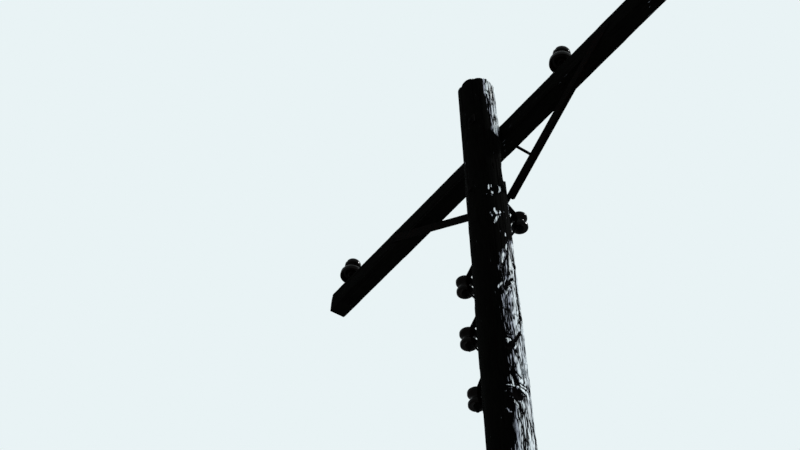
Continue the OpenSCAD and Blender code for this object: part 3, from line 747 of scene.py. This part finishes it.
# (turn, height, half width in degrees, half height in m, change): two dark patches below the arm,
# partly wood that it shelters and partly painted shade of the arm, the tar at the foot and a paler
# band at the rim
SHADE_TAR_AND_RIM_PATCHES = [(100, 6.98, 45, 0.16, -0.9), (50, 7.08, 25, 0.055, -1.2),
           (0, 0.0, 400, 0.3, -0.6), (20, 7.48, 30, 0.03, 0.25)]
for turn, z, wide, tall, change in SHADE_TAR_AND_RIM_PATCHES:
    aside = wrapped(TURN - turn) / wide
    bleach_and_painted_light += change * smooth(1.6 - np.hypot(aside, (Z - z) / tall))
open_sun = smooth((turned_on - OPEN_FROM) / SUN_FADE)
open_sun *= smooth((last_silver - turned_on + 5) / 20)
bleach_and_painted_light += OPEN_GAIN * open_sun
bleach_and_painted_light = np.maximum(bleach_and_painted_light, pale)
# A pale splinter, with its painted highlight, lies over what is dark
dark *= np.clip(1.2 - pale, 0, 1)
print("bleached share:", round(float((bleach_and_painted_light > 0.5).mean()), 2))

# %% Dark lines across the silver
# (line, half width in mm) of dark lines that cut across the pale fibres: a slanting one, and the
# open rings of the grain that bends round the large knot
CROSS_DARK_LINES = [
    ([(20, 5.702), (5, 5.656), (-7, 5.616)], 12),
    ([(-19, 5.361), (-9, 5.358), (2, 5.355), (11, 5.355), (18, 5.349), (23, 5.342),
      (27, 5.32)], 4.5),
    ([(-14, 5.345), (-6, 5.338), (1, 5.329), (7, 5.321), (11, 5.311), (13, 5.29)], 5),
    ([(-12, 5.27), (-10, 5.246), (-10, 5.22)], 5), ([(26, 5.4), (32, 5.391), (32, 5.36)], 5),
]
for line, half_width in CROSS_DARK_LINES:
    rows, share = line_share(line, half_width * MM, 0.1)
    dark[rows] = np.maximum(dark[rows], share * CHECK_SHADE_DARK)
print("breaks across the silver:", len(CROSS_DARK_LINES))

# %% [markdown]
# ## The pole's top
# The sawn end has lost chips from its rim and is split from the middle outwards. The rim is
# lowered chip by chip, and the rows of the end run in from it to the middle.

# %% The chipped rim
# (turn, how far the rim has been lost there in mm)
RIM_LOSS = [
    (-180, 8), (-150, 12), (-122, 5), (-108, 14), (-101, 22), (-94, 30), (-91, 27), (-87, 17),
    (-80, 12), (-66, 9), (-52, 10), (-45, 18), (-36, 12), (-24, 9), (-17, 14), (-10, 1), (-3, 4),
    (4, 10), (11, 14), (20, 16), (40, 12), (62, 18), (80, 9), (120, 7), (180, 8),
]
CHIP_REACH = 0.06
LEAST_CHIP = 0.5 * MM
chips = np.interp(TURN, *zip(*RIM_LOSS)) * MM + ripples(AROUND, UP * 0, (41, 1, 22, 1.2))
chips -= chips[-1].min() - LEAST_CHIP
place_z = Z - chips * smooth((Z - (POLE_TOP - CHIP_REACH)) / CHIP_REACH)
over_rim = np.clip((Z - (POLE_TOP - RIM_WEAR)) / RIM_WEAR, 0, 1)
rim_r = skin_r - RIM_WEAR * (1 - np.sqrt(1 - over_rim ** 2))
side = np.stack([rim_r * np.cos(np.radians(TURN)), rim_r * np.sin(np.radians(TURN)), place_z], -1)
print("deepest chip:", round(float(chips[-1].max()) / MM), "mm")

# %% The sawn end
END_ROWS, END_SPLITS = 14, 9
SPLIT_HALF, SPLIT_DEPTH, END_DROP = 2.5 * MM, 7 * MM, 0.3 * MM
share = (1 - np.arange(1, END_ROWS + 1) / (END_ROWS + 1))[:, None]
end_turn = np.broadcast_to(turns, (END_ROWS, COLUMNS))
end_wear = chips[-1] * share ** 3
for k in range(END_SPLITS):
    at, reach = rng.uniform(-180, 180), rng.uniform(0.2, 0.75)
    off = np.abs(wrapped(end_turn - at)) * np.pi / 180 * share * top_r
    split = np.clip(1 - off / SPLIT_HALF, 0, 1) * (share > reach)
    end_wear = np.maximum(end_wear, split * SPLIT_DEPTH)
end = np.stack([side[-1, :, 0] * share, side[-1, :, 1] * share,
                POLE_TOP - end_wear - END_DROP], -1)
print("splits in the end:", END_SPLITS)

# %% Build the pole
END_BLEACH, END_SUN = 0.55, 0.88
points, faces = closed_grid(np.concatenate([side, end]), (0, 0, 0), (0, 0, POLE_TOP - 1 * MM))
end_points = np.ones(end_wear.shape)
add_piece("split_pole", points, faces, pole_wood, ["pole"], {
    "bleach_and_painted_light": joined(bleach_and_painted_light, END_BLEACH * end_points, [0.3, 0.5]),
    "open_sun": joined(open_sun, END_SUN * end_points, [0, 1]),
    "crack": joined(dark, end_wear > 4 * MM, [0, 0])})

# %% [markdown]
# ## The crossarm
# The arm is one sawn timber. Rain has rounded its edges and opened checks along its faces, and
# its ends have split. It is a loft: the section is walked round in small steps and repeated along
# X, and each point is moved inwards by the wear at its place.

# %% Section of the arm
ARM_LEN = arm_hi.x - arm_lo.x
ARM_STEP = 0.009
TOP_CHAMFER, LOW_CHAMFER = 12 * MM, 3 * MM
SIDE_STEPS, CHAMFER_STEPS = 22, 4

near_y, far_y, low_z, top_z = arm_lo.y, arm_hi.y, arm_lo.z, arm_hi.z
corners = [(near_y + LOW_CHAMFER, low_z), (far_y - LOW_CHAMFER, low_z),
           (far_y, low_z + LOW_CHAMFER), (far_y, top_z - TOP_CHAMFER),
           (far_y - TOP_CHAMFER, top_z), (near_y + TOP_CHAMFER, top_z),
           (near_y, top_z - TOP_CHAMFER), (near_y, low_z + LOW_CHAMFER)]
section = []
for k, (y0, z0) in enumerate(corners):
    y1, z1 = corners[(k + 1) % len(corners)]
    steps = SIDE_STEPS if k % 2 == 0 else CHAMFER_STEPS
    section += [(y0 + (y1 - y0) * s / steps, z0 + (z1 - z0) * s / steps) for s in range(steps)]
section = np.array(section)
arm_middle = np.array([(near_y + far_y) / 2, (low_z + top_z) / 2])
# Wear goes straight in from a face, and slantwise only close to a corner
CORNER = 0.08
inward = arm_middle - section
lie = np.abs(inward) / (np.array([far_y - near_y, top_z - low_z]) / 2)
inward = np.sign(inward) * np.where(lie > lie.max(1, keepdims=True) - CORNER, 1, 0)
inward /= np.linalg.norm(inward, axis=1, keepdims=True)
print("section points:", len(section))

# %% Wear of the arm
ARM_CHECKS = 46
CHECK_DRIFT = 3  # steps of the section that a check drifts in a metre
CHECK_TAPER = 0.08
SEAT_HALF, SEAT_FADE = 0.028, 0.02

stations = np.linspace(arm_lo.x, arm_hi.x, int(ARM_LEN / ARM_STEP))
X, S = np.meshgrid(stations, np.arange(len(section)), indexing="ij")
ALONG, ROUND = (X - arm_lo.x) / ARM_LEN, S / len(section)
arm_wear = ripples(ROUND, ALONG, (12, 26, 31, 0.5), (60, 120, 32, 0.35))
arm_dark = np.zeros(X.shape)
for k in range(ARM_CHECKS):
    row = rng.uniform(0, len(section))
    x0 = rng.uniform(arm_lo.x - 0.2, arm_hi.x - 0.1)
    x1 = x0 + rng.uniform(0.15, 0.9)
    off = S - row - CHECK_DRIFT * (X - x0) + len(section) / 2
    off = np.abs(off % len(section) - len(section) / 2)
    ends = np.clip(np.minimum(X - x0, x1 - X) / CHECK_TAPER, 0, 1) ** 0.5
    cut = np.clip(1 - off / rng.uniform(0.7, 1.4), 0, 1) * ends
    arm_wear += cut * rng.uniform(2, 6) * MM
    # The checks are darkened too, as painted shade in their grooves
    arm_dark = np.maximum(arm_dark, cut)
# Nothing is worn where hardware sits
seats = [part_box(n) for n in ("insulator_pin_1", "insulator_pin_2", "insulator_pin_3", "arm_bolt",
                             "brace_arm_bolt_left", "brace_arm_bolt_right")]
for lo, hi in seats:
    arm_wear *= smooth((np.abs(X - (lo.x + hi.x) / 2) - SEAT_HALF) / SEAT_FADE)
print("arm checks:", ARM_CHECKS, "stations:", len(stations))

# %% Ends of the arm
END_WEAR, NEAR_END_WEAR, END_REACH = 26 * MM, 6.5 * MM, 0.09
ROUND_DEPTH, ROUND_REACH = 2.5 * MM, 0.012
loft = np.stack([X, section[:, 0] + inward[:, 0] * arm_wear,
                 section[:, 1] + inward[:, 1] * arm_wear], -1)
# The far end has rotted back at its upper near corner, and the other end only a little
height_share = (section[:, 1] - low_z) / (top_z - low_z)
near_share = (far_y - section[:, 0]) / (far_y - near_y)
for end_x, sign, amount in ((arm_lo.x, 1, END_WEAR), (arm_hi.x, -1, NEAR_END_WEAR)):
    back = smooth(1 - np.abs(X - end_x) / END_REACH)
    loft[..., 0] += sign * amount * back * height_share ** 1.5 * (0.4 + 0.6 * near_share)
    round_off = smooth(1 - np.abs(X - end_x) / ROUND_REACH) * ROUND_DEPTH
    loft[..., 1] += inward[:, 0] * round_off
    loft[..., 2] += inward[:, 1] * round_off
END_RINGS = 7
rings_lo, rings_hi = [], []
for k in range(1, END_RINGS):
    t = k / END_RINGS
    for rings, edge in ((rings_lo, loft[0]), (rings_hi, loft[-1])):
        centre = edge.mean(0)
        ring = edge + (centre - edge) * t
        inwards = 1 if rings is rings_lo else -1
        # The sawn faces are a little uneven
        ring[:, 0] += inwards * ripples(ROUND[0], ROUND[0] * 0, (17, 1, 40 + k, 0.8))
        rings.append(ring)
grid = np.concatenate([np.array(rings_lo[::-1]), loft, np.array(rings_hi)])
print("arm:", grid.shape[0], "sections, of which in each end:", END_RINGS - 1)

# %% Build the arm
points, faces = closed_grid(grid, loft[0].mean(0), loft[-1].mean(0))
# The top, but for its near edge, and the far face are out in the sun; the near face and the bottom
# keep the near-black tar, as painted shade
up_share = smooth((height_share - 0.86) / 0.1) * smooth((0.88 - near_share) / 0.08)
far_share = smooth((0.12 - near_share) / 0.1) * smooth((height_share - 0.05) / 0.05)
arm_bleach_and_shade = np.maximum(up_share, far_share * 0.95) + 0.12 * waves(ROUND, ALONG, 9, 60, 33)
arm_sun = np.broadcast_to(np.maximum(up_share, far_share), X.shape)
ends = np.full((END_RINGS - 1, len(section)), 0.1)
add_piece("sawn_arm", points, faces, arm_wood, ["crossarm"], {
    "bleach_and_painted_light": joined(ends, arm_bleach_and_shade, ends, [0, 0]),
    "open_sun": joined(ends, arm_sun, ends, [0, 0]),
    "crack": joined(ends * 0, arm_dark, ends * 0, [0, 0])})

# %% [markdown]
# ## Steel
# The braces, brackets and bolts were hot-dip galvanised: the zinc is dull grey, and rust shows
# through in brown spots. Only faces that look up and away, to the side of the sun, show them so; on
# every other face zinc and rust are painted near black, as their shade. The material tells the two
# by the way that a face looks. A metal keeps the default IOR, but this steel has hardly any
# metallic share and almost no gloss. The mottling is 12 mm across, which is as fine as still shows
# from the ground.


# %% The painted lit and shaded sides
LIT_SIDE_WAY = direction(100, 30)
NOISE_PULL, SHADE_DARK_TO, LIT_GREY_FROM = 0.5, 0.8, 1.0


def lit_side_share(tree, noise):
    """1 on faces that look up and away, shown lit; 0 on the others, painted dark as shade; noise
    breaks up the border.
    """
    normal = add(tree, "NewGeometry").outputs["Normal"]
    facing = add(tree, "VectorMath", {0: normal, 1: LIT_SIDE_WAY}, operation="DOT_PRODUCT")
    facing = add(tree, "Math", {0: noise, 1: NOISE_PULL, 2: facing.outputs["Value"]},
                 operation="MULTIPLY_ADD")
    return add(tree, "MapRange", {0: facing.outputs[0], 1: SHADE_DARK_TO, 2: LIT_GREY_FROM}).outputs[0]


# Faces that look this way are shown lit, all others painted dark as shade
print("weather comes from", [round(v, 2) for v in LIT_SIDE_WAY])


# %% Steel materials
def dulled_steel(name, zinc, rust_from):
    """Old galvanised steel, painted near black as shade where a face looks away from the light;
    zinc is that dark ramp, and rust_from is where in the noise rust begins, from 0 to 1.
    """
    material, tree, shader = new_material(name)
    place = add(tree, "TexCoord").outputs["Object"]
    mottle = add(tree, "TexNoise", {"Vector": place, "Scale": 1 / (12 * MM), "Detail": 4.0})
    grain = add(tree, "TexNoise", {"Vector": place, "Scale": 1 / (2.5 * MM), "Detail": 3.0})
    lit_faces = lit_side_share(tree, mottle.outputs[0])
    rusted = add(tree, "MapRange", {0: mottle.outputs[0], 1: rust_from, 2: rust_from + 0.1})
    skins = []
    # First the zinc and rust painted dark as shade, then their own grey and brown on the lit faces
    for zinc_stops, rust_stops in ((zinc, [(0.3, "#040202"), (0.7, "#0C0503")]),
                                   ([(0.35, "#4A4F52"), (0.65, "#7B8286")],
                                    [(0.3, "#2C1810"), (0.7, "#553020")])):
        skin = add(tree, "ValToRGB", {0: mottle.outputs[0]}, zinc_stops)
        rust = add(tree, "ValToRGB", {0: grain.outputs[0]}, rust_stops)
        skins.append(add(tree, "Mix", {0: rusted.outputs[0], 6: skin.outputs[0],
                                       7: rust.outputs[0]}, data_type="RGBA").outputs[2])
    mixed = add(tree, "Mix", {0: lit_faces, 6: skins[0], 7: skins[1]}, data_type="RGBA")
    relief = add(tree, "Bump", {"Height": grain.outputs[0], "Strength": 0.35, "Distance": 0.5 * MM})
    give(tree, shader, {"Base Color": mixed.outputs[2], "Normal": relief.outputs[0],
                        "Metallic": 0.05, "Roughness": 0.9, "Specular IOR Level": 0.01})
    return material


# These zinc ramps are the painted shade of each steel; the grey zinc's is its own grey
brace_steel = dulled_steel("rusted angle steel", [(0.35, "#010101"), (0.65, "#040303")], 0.52)
bolt_steel = dulled_steel("dulled galvanised steel", [(0.35, "#020202"), (0.65, "#060505")], 0.6)
grey_zinc = dulled_steel("grey weathered zinc", [(0.35, "#5F666A"), (0.65, "#9BA3A8")], 0.75)
print("steel materials:", brace_steel.name, "/", bolt_steel.name, "/", grey_zinc.name)

# %% Steel pieces
EDGE_BREAK, WELD_GAP = 0.9 * MM, 0.02 * MM


def break_edges(node, material):
    """Gives a CAD node its material and rounds its sharp edges a little."""
    piece = frame["nodes"][node]
    piece.data.materials.clear()
    piece.data.materials.append(material)
    weld = piece.modifiers.new("weld", "WELD")
    weld.merge_threshold = WELD_GAP
    bevel = piece.modifiers.new("broken edges", "BEVEL")
    bevel.width, bevel.segments = EDGE_BREAK, 2
    bevel.limit_method, bevel.angle_limit = "ANGLE", math.radians(40)
    bevel.harden_normals = True


SPOOLS = ["line_spool_1", "line_spool_2", "line_spool_3", "service_spool"]
INSULATORS = ["insulator_1", "insulator_2", "insulator_3"]
steel_nodes = [n for n in frame["nodes"] if n not in SPOOLS + INSULATORS + ["pole", "crossarm"]]
for node in steel_nodes:
    break_edges(node, brace_steel if node in ("brace_left", "brace_right") else bolt_steel)
# The head of the lowest bracket's bolt stands in the sun and does not show dark there
frame["nodes"]["line_iron_bolt_3"].data.materials[0] = grey_zinc
print("steel nodes:", len(steel_nodes))

# %% [markdown]
# ## Threads
# A bolt's free end shows its thread. Each is a three-sided ridge wound round the plain CAD rod,
# its foot a little inside the rod, so that the two read as one.


# %% Threads
PITCH, CREST, ROOT_DEPTH, TURN_STEPS = 2.3 * MM, 0.5 * MM, 0.3 * MM, 20
HALF_RIDGE = 0.42 * PITCH


def reach(node, way):
    """How far a node reaches along a direction."""
    return float((node_points(node) @ np.array(way)).max())


def thread(name, foot, way, length, rod_r):
    """A helical ridge on a rod from foot along way."""
    way = Vector(way).normalized()
    place = Matrix.Translation(foot) @ way.to_track_quat("Z", "Y").to_matrix().to_4x4()
    steps = max(int((length - PITCH) / PITCH * TURN_STEPS), TURN_STEPS)
    k = np.arange(steps + 1)
    angle = k * 2 * np.pi / TURN_STEPS
    rise = PITCH / 2 + k * PITCH / TURN_STEPS
    taper = smooth(np.minimum(k, steps - k) / (TURN_STEPS / 2))
    root = rod_r - ROOT_DEPTH
    rows = []
    for r, z in ((root, -HALF_RIDGE), (rod_r + CREST, 0), (root, HALF_RIDGE)):
        r = root + (r - root) * taper
        rows.append(np.stack([r * np.cos(angle), r * np.sin(angle), rise + z], -1))
    ridge = np.stack(rows, 1).reshape(-1, 3)
    faces = []
    for s in range(steps):
        for c in range(3):
            a, b = 3 * s + c, 3 * s + (c + 1) % 3
            faces.append((a, b, b + 3, a + 3))
    faces += [(2, 1, 0), (3 * steps, 3 * steps + 1, 3 * steps + 2)]
    points = [place @ Vector(p) for p in ridge]
    return add_piece(name, points, faces, bolt_steel)


BOLT_R, PIN_R = 7.5 * MM, 8 * MM
POINT = 8 * MM  # a bolt's plain tip, past its thread
ALONG_Y = (0, 1, 0)
for bolt, nut in (("arm_bolt", "arm_bolt_nut"), ("brace_pole_bolt", "brace_pole_nut")):
    lo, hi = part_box(nut)
    foot = Vector(((lo.x + hi.x) / 2, hi.y, (lo.z + hi.z) / 2))
    thread(bolt + "_thread", foot, ALONG_Y, reach(bolt, ALONG_Y) - POINT - hi.y, BOLT_R)
nuts_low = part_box("insulator_pin_nuts")[0].z
for pin in ("insulator_pin_1", "insulator_pin_2", "insulator_pin_3"):
    lo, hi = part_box(pin)
    foot = Vector(((lo.x + hi.x) / 2, arm_middle[0], nuts_low))
    thread(pin + "_thread", foot, (0, 0, -1), nuts_low - lo.z, PIN_R)

# %% [markdown]
# ## Glazed porcelain
# Insulators are thrown porcelain under a dark brown glaze. Glaze is glass, with an IOR of 1.5 and a
# smooth surface that takes small sharp highlights. Faces that look away from the light are painted
# near black as their shade and given little gloss; only faces that look up and away, to the side of
# the sun, show the brown and its gloss. Each insulator is turned round its axis, as on a potter's
# wheel.

# %% Glaze
brown_glaze, tree, shader = new_material("dark brown porcelain glaze")
place = add(tree, "TexCoord").outputs["Object"]
flow = add(tree, "TexNoise", {"Vector": place, "Scale": 1 / (30 * MM), "Detail": 4.0})
# First the glaze painted near black as shade, then its own brown on the lit faces
shade_dark_glaze = add(tree, "ValToRGB", {0: flow.outputs[0]}, [(0.3, "#020101"), (0.7, "#060302")])
clean = add(tree, "ValToRGB", {0: flow.outputs[0]}, [(0.3, "#2A120B"), (0.7, "#4B2418")])
glaze_mottle = add(tree, "TexNoise", {"Vector": place, "Scale": 1 / (9 * MM), "Detail": 5.0})
lit_faces = lit_side_share(tree, glaze_mottle.outputs[0])
tone = add(tree, "Mix", {0: lit_faces, 6: shade_dark_glaze.outputs[0], 7: clean.outputs[0]}, data_type="RGBA")
rough = add(tree, "MapRange", {0: glaze_mottle.outputs[0], 1: 0.35, 2: 0.75, 3: 0.08, 4: 0.28})
gloss = add(tree, "MapRange", {0: lit_faces, 3: 0.03, 4: 0.5})
give(tree, shader, {"Base Color": tone.outputs[2], "Roughness": rough.outputs[0],
                    "Specular IOR Level": gloss.outputs[0], "IOR": 1.5})
print("glaze:", brown_glaze.name)


# %% Turned pieces
def arc(cx, cz, rx, rz, start, stop, steps):
    """Points of an elliptical arc, angles in degrees."""
    t = np.radians(np.linspace(start, stop, steps + 1))
    return [(cx + rx * math.cos(a), cz + rz * math.sin(a)) for a in t]


def sweep(r1, z1, r2, z2, steps):
    """Points of a smooth S from one radius to another."""
    t = np.linspace(0, 1, steps + 1)
    return [(r1 + (r2 - r1) * (1 - math.cos(math.pi * s)) / 2, z1 + (z2 - z1) * s) for s in t]


def turned(outline, segments):
    """Grid of points that an outline of (radius, height) in mm makes when turned."""
    angle = np.arange(segments) * 2 * np.pi / segments
    r, z = np.array(outline).T[:, :, None] * MM
    return np.stack([r * np.cos(angle), r * np.sin(angle), z + 0 * angle], -1)


print("quarter arc:", [tuple(round(float(v), 2) for v in p) for p in arc(0, 0, 1, 1, 0, 90, 2)])

# %% Spools
SPOOL_EDGE, SPOOL_BELLY, SPOOL_WAIST = 7, 26, 4
SPOOL_GROOVE_R, SPOOL_BORE_R = 25, 9
for spool in SPOOLS:
    lo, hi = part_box(spool)
    middle = (lo + hi) / 2
    r = (hi.x - lo.x) / 2 / MM
    tall = (hi.z - lo.z) / 2 / MM
    half_side = (arc(r - SPOOL_EDGE, tall - SPOOL_EDGE, SPOOL_EDGE, SPOOL_EDGE, 0, 90, 7)
                 + [(SPOOL_BORE_R + 3, tall), (SPOOL_BORE_R, tall - 2)])
    groove = (sweep(r, -SPOOL_BELLY, SPOOL_GROOVE_R, -SPOOL_WAIST, 12)
              + sweep(SPOOL_GROOVE_R, SPOOL_WAIST, r, SPOOL_BELLY, 12))
    outline = [(a, -b) for a, b in half_side[::-1]] + groove + half_side
    grid = turned(outline, 72) + np.array(middle)
    add_piece(spool + "_glazed", grid.reshape(-1, 3), grid_faces(len(outline), 72, loop=True),
              brown_glaze, [spool])

# %% Outline of a pin insulator
# Radii and heights in mm, from its skirt's lower edge up
GROOVE_HEIGHT = 62
SKIRT_R, NECK_R, HEAD_R, FULL_H = 66, 30, 48, 138
SHOULDER_R, GROOVE_TOP = 30, 68
SOCKET_R, SOCKET_H, CAVITY_H = 11.5, 72, 38
PETTICOAT_R, WALL, RIM = 23, 10, 4
HEAD_LOW, LIP, TOP_GROOVE_R = 88, 10, 8

insulator_outline = (
    [(SOCKET_R, SOCKET_H), (SOCKET_R, 14), (SOCKET_R + 2, 12), (PETTICOAT_R - 2, 12),
     (PETTICOAT_R, 14), (PETTICOAT_R + 3, CAVITY_H), (SKIRT_R - 2 * WALL, CAVITY_H),
     (SKIRT_R - WALL - 1, CAVITY_H - WALL), (SKIRT_R - WALL, 2), (SKIRT_R - WALL + 2, 0)]
    + arc(SKIRT_R - RIM, RIM, RIM, RIM, -90, 0, 5)
    + arc(SKIRT_R - SHOULDER_R, 20, SHOULDER_R, SHOULDER_R, 0, 70, 12)
    + sweep(SKIRT_R - SHOULDER_R + 4, 49, NECK_R, 55, 6)
    + [(NECK_R, GROOVE_TOP)]
    + arc(HEAD_R - LIP, HEAD_LOW, LIP, LIP, -75, 0, 7)
    + arc(0, HEAD_LOW + LIP, HEAD_R, FULL_H - HEAD_LOW - LIP, 4, 86, 16))
print("points in the outline:", len(insulator_outline))

# %% Pin insulators
mounts = {m["name"]: m for m in frame["record"]["mounts"]}
for node in INSULATORS:
    mount = mounts[node + "_groove"]
    up = Vector(mount["axis"]).normalized()
    side_way = Vector((1, 0, 0))
    turned_to = Matrix((side_way, up.cross(side_way), up)).transposed().to_4x4()
    place = Matrix.Translation(Vector(mount["pos_m"]) - up * GROOVE_HEIGHT * MM) @ turned_to
    grid = turned(insulator_outline, 96)
    # The groove over the head runs along the insulator's own Y axis. It is a little wider and
    # shallower than round.
    across = np.clip(1 - (grid[..., 0] / (TOP_GROOVE_R * MM * 1.15)) ** 2, 0, 1)
    head = grid[..., 2] > (HEAD_LOW + LIP) * MM
    grid[..., 2] -= np.where(head, np.sqrt(across) * TOP_GROOVE_R * MM * 0.9, 0)
    top = Vector((0, 0, (FULL_H - TOP_GROOVE_R) * MM))
    points, faces = closed_grid(grid, (0, 0, SOCKET_H * MM), tuple(top))
    add_piece(node + "_glazed", [place @ Vector(p) for p in points], faces,
              brown_glaze, [node])

# %% [markdown]
# ## Measure and finish
# The box of the dressed pole is printed, to hold against the size of the CAD model.

# %% Finish
lo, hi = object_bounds()
print("visual box:", [[round(v, 3) for v in corner] for corner in (lo, hi)])
